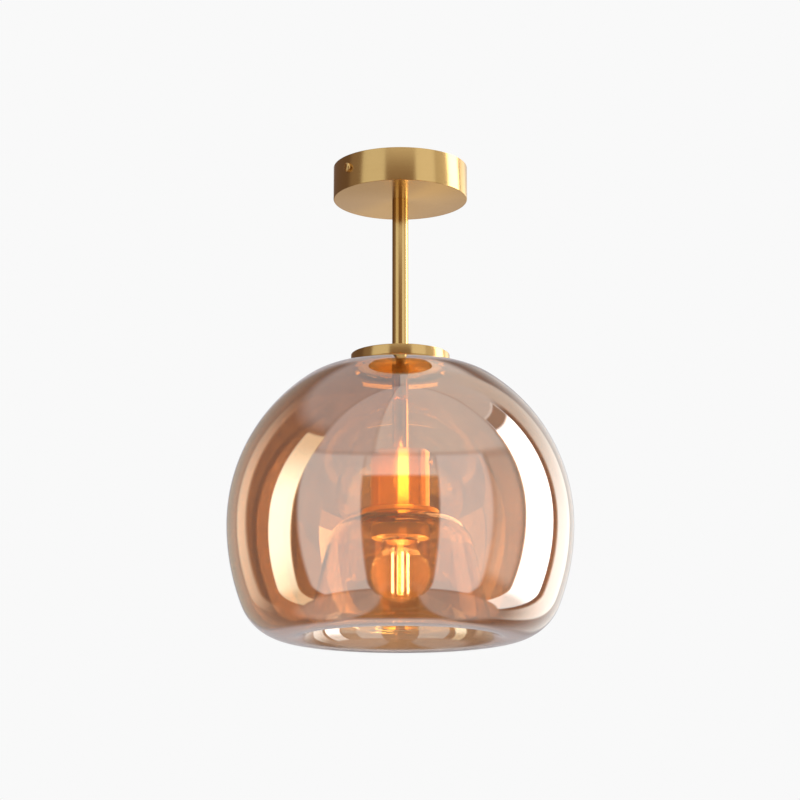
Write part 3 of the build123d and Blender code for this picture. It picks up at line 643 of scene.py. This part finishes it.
# ------------------------------------------------------------------ bulb
def bulb_face(inset):
    """One face of the bulb's glass from its bottom pole: ball, hollow arc and straight neck."""
    ball, hollow, neck = ball_radius - inset, hollow_radius + inset, neck_radius - inset
    across = neck_radius + hollow_radius
    rise = np.sqrt((ball_radius + hollow_radius) ** 2 - across ** 2)
    lean = np.degrees(np.arctan2(rise, across))
    lower = arc((0, ball_level), ball, -90, lean, 44)
    blend = arc((neck + hollow, ball_level + rise), hollow, 180 + lean, 180, 12)[1:]
    return np.concatenate([[[0, ball_level - ball]], lower[1:], blend, [[neck, neck_level]]])


turned("bulb_ball", np.concatenate([bulb_face(0), bulb_face(bulb_wall)[::-1]]),
       painted_glow_bulb, "bulb", ["bulb_glass"], steps=128)

flare = outline([
    (0.0, neck_level), (11.5, neck_level, 0.3), (11.5, neck_level - 0.9, 0.2), (6.9, -281.0, 2.0),
    (pillar_radius, -285.5, 3.0), (pillar_radius, pillar_low, 0.9), (0.0, pillar_low)])
turned("flare_and_pillar", flare, painted_glow_pillar, "bulb", ["bulb_flare"], steps=96)

cap = outline([
    (cap_rim_radius, cap_rim_level, 0.1), (cap_rim_radius, cap_rim_level + 1.2, 0.4),
    (cap_radius, cap_rim_level + 2.4, 0.4), (cap_radius, cap_shoulder - 0.9, 0.6),
    (cap_shoulder_radius, cap_shoulder), (cap_mouth_radius, cap_shoulder),
    (cap_inside, cap_shoulder - 1.2, 0.4), (cap_inside, cap_rim_level)])
turned("rolled_cap",
       subdivided(cap, longest=0.4, low=cap_rim_level + 2.3, high=cap_shoulder - 0.8),
       finish["nickel_brass"], "bulb", ["bulb_cap"], steps=128,
       relief=thread(pitch=3.63, depth=0.85, low=cap_rim_level + 3.2, high=cap_shoulder - 1.3,
                     least_radius=10.9))


def filament_strips(count=4, steps=16, rows=34):
    """Straight strips with round ends about the pillar: rings of a radius along each strip's axis.

    The radius is sqrt(1 - t * t) of the full one, with t from 0 to 1 over the last radius of length.
    """
    along = np.linspace(-1, 1, rows) * strip_length / 2
    into_end = np.clip((np.abs(along) - strip_length / 2 + strip_radius) / strip_radius, 0, 1)
    radius = strip_radius * np.sqrt(np.clip(1 - into_end ** 2, 0, 1))
    radius[[0, -1]] = 0.25 * strip_radius
    angle = np.linspace(0, FULL_TURN, steps, endpoint=False)
    azimuth = np.radians(first_strip_azimuth + 360 / count * np.arange(count))[:, None, None]
    ring = radius[:, None] * np.stack([np.cos(angle), np.sin(angle)])[:, None]
    x = strip_circle_radius * np.cos(azimuth) + ring[0]
    y = strip_circle_radius * np.sin(azimuth) + ring[1]
    level = (strip_middle + along)[:, None] + 0 * x
    vertices = np.stack([x, y, level], axis=-1).reshape(-1, 3)

    strip = np.arange(count)[:, None, None] * rows * steps
    row, column = strip + np.arange(rows - 1)[:, None] * steps, np.arange(steps)
    beside = (column + 1) % steps
    next_row = row + steps
    walls = np.stack([row + column, row + beside, next_row + beside, next_row + column], axis=-1)
    low_ends = strip[:, 0] + column[::-1]
    high_ends = strip[:, 0] + (rows - 1) * steps + column
    return vertices, [walls.reshape(-1, 4), low_ends, high_ends]


strips, strip_faces = filament_strips()
make_piece("filament_strips", strips * MM, strip_faces, filament, "bulb",
           ["bulb_filaments"])

# ------------------------------------------------------------------ studio
# What metal and glass reflect, as panels round the object. Azimuth runs from the viewer towards the
# object's right, in degrees, and a lean moves it with the elevation. A later panel covers an earlier.
# azimuth from, to, softness, elevation from, to, softness, lean, colour, rays that see it
panels = (
    # floor, then the ceiling on the left, at the right and behind, and in front
    (-200, 200, 6, -90, -46, 6, 0, (0.52, 0.46, 0.42), "all"),
    (-200, -66, 5, 48, 91, 5, 0, (0.48, 0.46, 0.46), "all"),
    (88, 200, 5, 48, 91, 5, 0, (0.88, 0.86, 0.80), "all"),
    (-66, -20, 3, 35, 91, 3, 0, (0.68, 0.67, 0.67), "all"),
    (-20, 88, 3, 35, 91, 3, 0, (0.92, 0.92, 0.87), "all"),
    # wide pale fields to both sides of the viewer, with a dark strip between them
    (-25, 25, 2, 21, 35, 2, 0, (0.84, 0.85, 0.82), "all"),
    (25, 63, 2, -45, 35, 2, 0, (0.96, 1.00, 1.00), "all"),
    (63, 88, 5, -24, 35, 5, 0, (0.70, 0.68, 0.62), "all"),
    (63, 88, 5, -45, -24, 5, 0, (0.36, 0.32, 0.27), "all"),
    (-70, -25, 2, -45, 35, 2, 0, (0.86, 0.91, 0.91), "all"),
    (-25, 25, 1.5, -60, 21, 1.5, 0, (0.27, 0.19, 0.14), "all"),
    # bright crescent on the right, and what is above it
    (90, 119, 1, -48, 44, 1, 0, (1.7, 1.7, 1.65), "all"),
    (90, 119, 1, -26, 50, 10, 0, (4.6, 4.6, 4.5), "all"),
    (90, 119, 1, 44, 51, 1, 0, (0.40, 0.33, 0.27), "all"),
    (89, 120, 1, 51, 62, 1, 0, (0.88, 0.86, 0.80), "all"),
    # warmer crescent on the left, which brushed brass sees as a dark field
    (-96, -76, 1, -47, 44, 1, 0.25, (1.30, 1.08, 0.72), "sharp"),
    (-96, -76, 1, -20, 26, 16, 0.25, (3.2, 2.95, 2.25), "sharp"),
    (-96, -70, 4, -50, 60, 4, 0, (0.30, 0.24, 0.20), "rough"),
    # soft bars towards the back on both sides, and the back
    (-137, -122, 3, -18, 30, 24, 0, (1.20, 1.00, 0.76), "sharp"),
    (-165, -137, 4, -22, 30, 24, 0, (0.56, 0.48, 0.40), "sharp"),
    (126, 150, 3, -40, 60, 14, 0, (0.85, 0.78, 0.68), "all"),
    (126, 150, 2, -28, 22, 20, 0, (2.0, 2.0, 1.9), "all"),
    (150, 170, 3, -20, 30, 20, 0, (1.00, 0.97, 0.94), "all"),
    (170, 190, 4, -60, 60, 4, 0, (0.55, 0.51, 0.52), "all"),
    (-190, -165, 4, -60, 60, 4, 0, (0.55, 0.51, 0.52), "all"),
    # two leaning bars that the canopy's underside shows
    (182.8, 185.8, 1.2, -60, 10, 4, 0.33, (1.0, 0.86, 0.62), "rough"),
    (-177.2, -174.2, 1.2, -60, 10, 4, 0.33, (1.0, 0.86, 0.62), "rough"),
)


def make_studio():
    """World: white to the camera and straight through glass, plain grey for matt surfaces, and the
    panels for reflections. Below the viewer, sharp reflections also see a warm dark strip."""
    world = bpy.data.worlds.new("studio")
    scene.world = world
    world.use_nodes = True
    tree = world.node_tree
    direction = node(tree, "ShaderNodeTexCoord").outputs["Generated"]
    axes = node(tree, "ShaderNodeSeparateXYZ", {0: direction})
    towards = maths(tree, "MULTIPLY", axes.outputs["Y"], -1.0)
    azimuth = maths(tree, "DEGREES", maths(tree, "ARCTAN2", axes.outputs["X"], towards))
    elevation = maths(tree, "DEGREES", maths(tree, "ARCSINE", axes.outputs["Z"]))
    path = node(tree, "ShaderNodeLightPath")
    sharp = path.outputs["Is Singular Ray"]
    rays = {"sharp": sharp, "rough": maths(tree, "SUBTRACT", 1.0, sharp)}

    colour = rgb(0.17, 0.12, 0.10)
    for az_from, az_to, az_soft, el_from, el_to, el_soft, lean, panel, seen_by in panels:
        turn = maths(tree, "MULTIPLY_ADD", elevation, -lean, azimuth) if lean else azimuth
        share = maths(tree, "MULTIPLY", band(tree, turn, az_from, az_to, az_soft),
                      band(tree, elevation, el_from, el_to, el_soft))
        if seen_by in rays:
            share = maths(tree, "MULTIPLY", share, rays[seen_by])
        colour = mixed(tree, share, colour, rgb(*panel))
    sideways = maths(tree, "DEGREES", maths(tree, "ARCSINE", axes.outputs["X"]))
    under = maths(tree, "MULTIPLY", band(tree, sideways, -10, 10, 1.5),
                  band(tree, elevation, -95, -52, 6))
    colour = mixed(tree, maths(tree, "MULTIPLY", under, sharp), colour, rgb(0.34, 0.17, 0.07))

    straight = maths(tree, "LESS_THAN", path.outputs["Glossy Depth"], 0.5)
    through = maths(tree, "MULTIPLY", path.outputs["Is Transmission Ray"], straight)
    seen = maths(tree, "MAXIMUM", path.outputs["Is Camera Ray"], through)
    colour = mixed(tree, path.outputs["Is Diffuse Ray"], colour, rgb(0.62, 0.62, 0.62))
    colour = mixed(tree, seen, colour, rgb(0.947, 0.947, 0.947))
    tree.links.new(colour, found(tree, "BACKGROUND").inputs["Color"])


def make_floor(level=-1.6, half=6.0, count=4):
    """Pale plain floor below the light: a flat grid that keeps the object's shadow."""
    side = np.linspace(-half, half, count + 1)
    x, y = np.meshgrid(side, side)
    vertices = np.stack([x, y, 0 * x + level], axis=-1).reshape(-1, 3)
    corner = np.arange(count)[:, None] * (count + 1) + np.arange(count)[None]
    faces = np.stack([corner, corner + 1, corner + count + 2, corner + count + 1], axis=-1)
    mesh = bpy.data.meshes.new("floor")
    mesh.from_pydata(vertices.tolist(), [], faces.reshape(-1, 4).tolist())
    mesh.materials.append(new_material("floor", Base_Color=rgb(0.90, 0.90, 0.90), Roughness=0.7,
                                       Specular_IOR_Level=0.2)[0])
    floor = bpy.data.objects.new("floor", mesh)
    scene.collection.objects.link(floor)
    floor.visible_glossy = floor.visible_transmission = False


def place_lamp(light, place, mirrored):
    """Lamp that lights matt surfaces; only a mirrored one is also seen in metal and glass."""
    lamp = bpy.data.objects.new(light.name, light)
    scene.collection.objects.link(lamp)
    lamp.location = place
    lamp.visible_camera = lamp.visible_transmission = False
    lamp.visible_glossy = mirrored
    return lamp


def add_flat_lamp(name, place, aim, width, height, power, tone, mirrored=False):
    """Rectangular lamp aimed at a point, with lengths in metres and power in watts."""
    light = bpy.data.lights.new(name, "AREA")
    light.shape = "RECTANGLE"
    light.size, light.size_y, light.energy, light.color = width, height, power, tone
    lamp = place_lamp(light, place, mirrored)
    lamp.rotation_euler = (Vector(aim) - Vector(place)).to_track_quat("-Z", "Y").to_euler()


def add_softboxes(side=1.3, aim=(0, 0, -0.2)):
    """Square softboxes of the studio: place in metres, power and tone."""
    for name, place, power, tone in (
            ("right_softbox", (1.9, -0.5, 0.0), 22.0, (1.0, 0.98, 0.95)),
            ("left_softbox", (-1.9, -0.5, 0.1), 14.0, (1.0, 0.95, 0.88)),
            ("front_softbox", (0.3, -2.2, 0.6), 12.0, (1.0, 0.97, 0.93))):
        add_flat_lamp(name, place, aim, side, side, power, tone)


def add_returned_light():
    """Flat warm lamps in the shade: they stand for the bulb's light that its inside sends back."""
    # radius, level, width and height in metres, azimuth in degrees: these face the lamp's axis
    for name, radius, azimuth, level, width, height, radiance, tone in (
            ("glow_streak", 0.050, 9.5, -0.233, 0.030, 0.044, 13.0, (1.0, 0.64, 0.16)),
            ("glow_back_left", 0.070, -140, -0.243, 0.058, 0.069, 1.1, (1.0, 0.50, 0.10)),
            ("glow_far_left", 0.070, -93, -0.243, 0.058, 0.069, 1.5, (1.0, 0.47, 0.07)),
            ("glow_left", 0.070, -45, -0.243, 0.058, 0.069, 1.7, (1.0, 0.50, 0.06)),
            ("glow_middle", 0.070, 0, -0.243, 0.058, 0.069, 1.9, (1.0, 0.50, 0.06)),
            ("glow_right", 0.070, 45, -0.243, 0.058, 0.069, 1.7, (1.0, 0.50, 0.06)),
            ("glow_far_right", 0.070, 90, -0.243, 0.050, 0.069, 1.5, (1.0, 0.47, 0.07)),
            ("glow_side", 0.055, 120, -0.216, 0.042, 0.090, 4.5, (1.0, 0.72, 0.42))):
        place = (radius * np.sin(radians(azimuth)), -radius * np.cos(radians(azimuth)), level)
        power = radiance * np.pi * width * height
        add_flat_lamp(name, place, (0, 0, level), width, height, power, tone, mirrored=True)
    # name, place, aim, width, height, power, tone: below the sleeve's mouth, the ring and the cover
    for name, place, aim, width, height, power, tone in (
            ("glow_mouth", (0, 0, -0.294), (0, 0, 0), 0.018, 0.018, 0.12, (1.0, 0.80, 0.42)),
            ("glow_under", (0, 0.01, -0.292), (0, 0.01, 0), 0.044, 0.036, 0.09, (1.0, 0.76, 0.34)),
            ("glow_cover", (0, 0.085, -0.174), (0, 0, -0.152), 0.05, 0.022, 0.012, (1.0, 0.5, 0.06))):
        add_flat_lamp(name, place, aim, width, height, power, tone, mirrored=True)


def add_bulb_lamp():
    """Small lamp in the middle of the bulb: the light of its strips on matt surfaces."""
    light = bpy.data.lights.new("bulb_glow", "POINT")
    light.energy, light.color, light.shadow_soft_size = 2.4, (1.0, 0.68, 0.30), 0.004
    place_lamp(light, (0, 0, ball_level * MM), mirrored=False)


def add_camera():
    """Camera of the photo, below the light and looking slightly up."""
    lens = bpy.data.cameras.new("camera")
    lens.lens = 108.236
    lens.shift_x, lens.shift_y = -0.000375, -0.001425
    camera = bpy.data.objects.new("camera", lens)
    camera.location = (0, -1.72365, -0.56875)
    camera.rotation_euler = (radians(102.79), 0, 0)
    scene.collection.objects.link(camera)
    scene.camera = camera


make_studio()
make_floor()
add_softboxes()
add_returned_light()
add_bulb_lamp()
add_camera()
scene.view_settings.view_transform = "Standard"
scene.cycles.max_bounces = 24
scene.cycles.transmission_bounces = 24
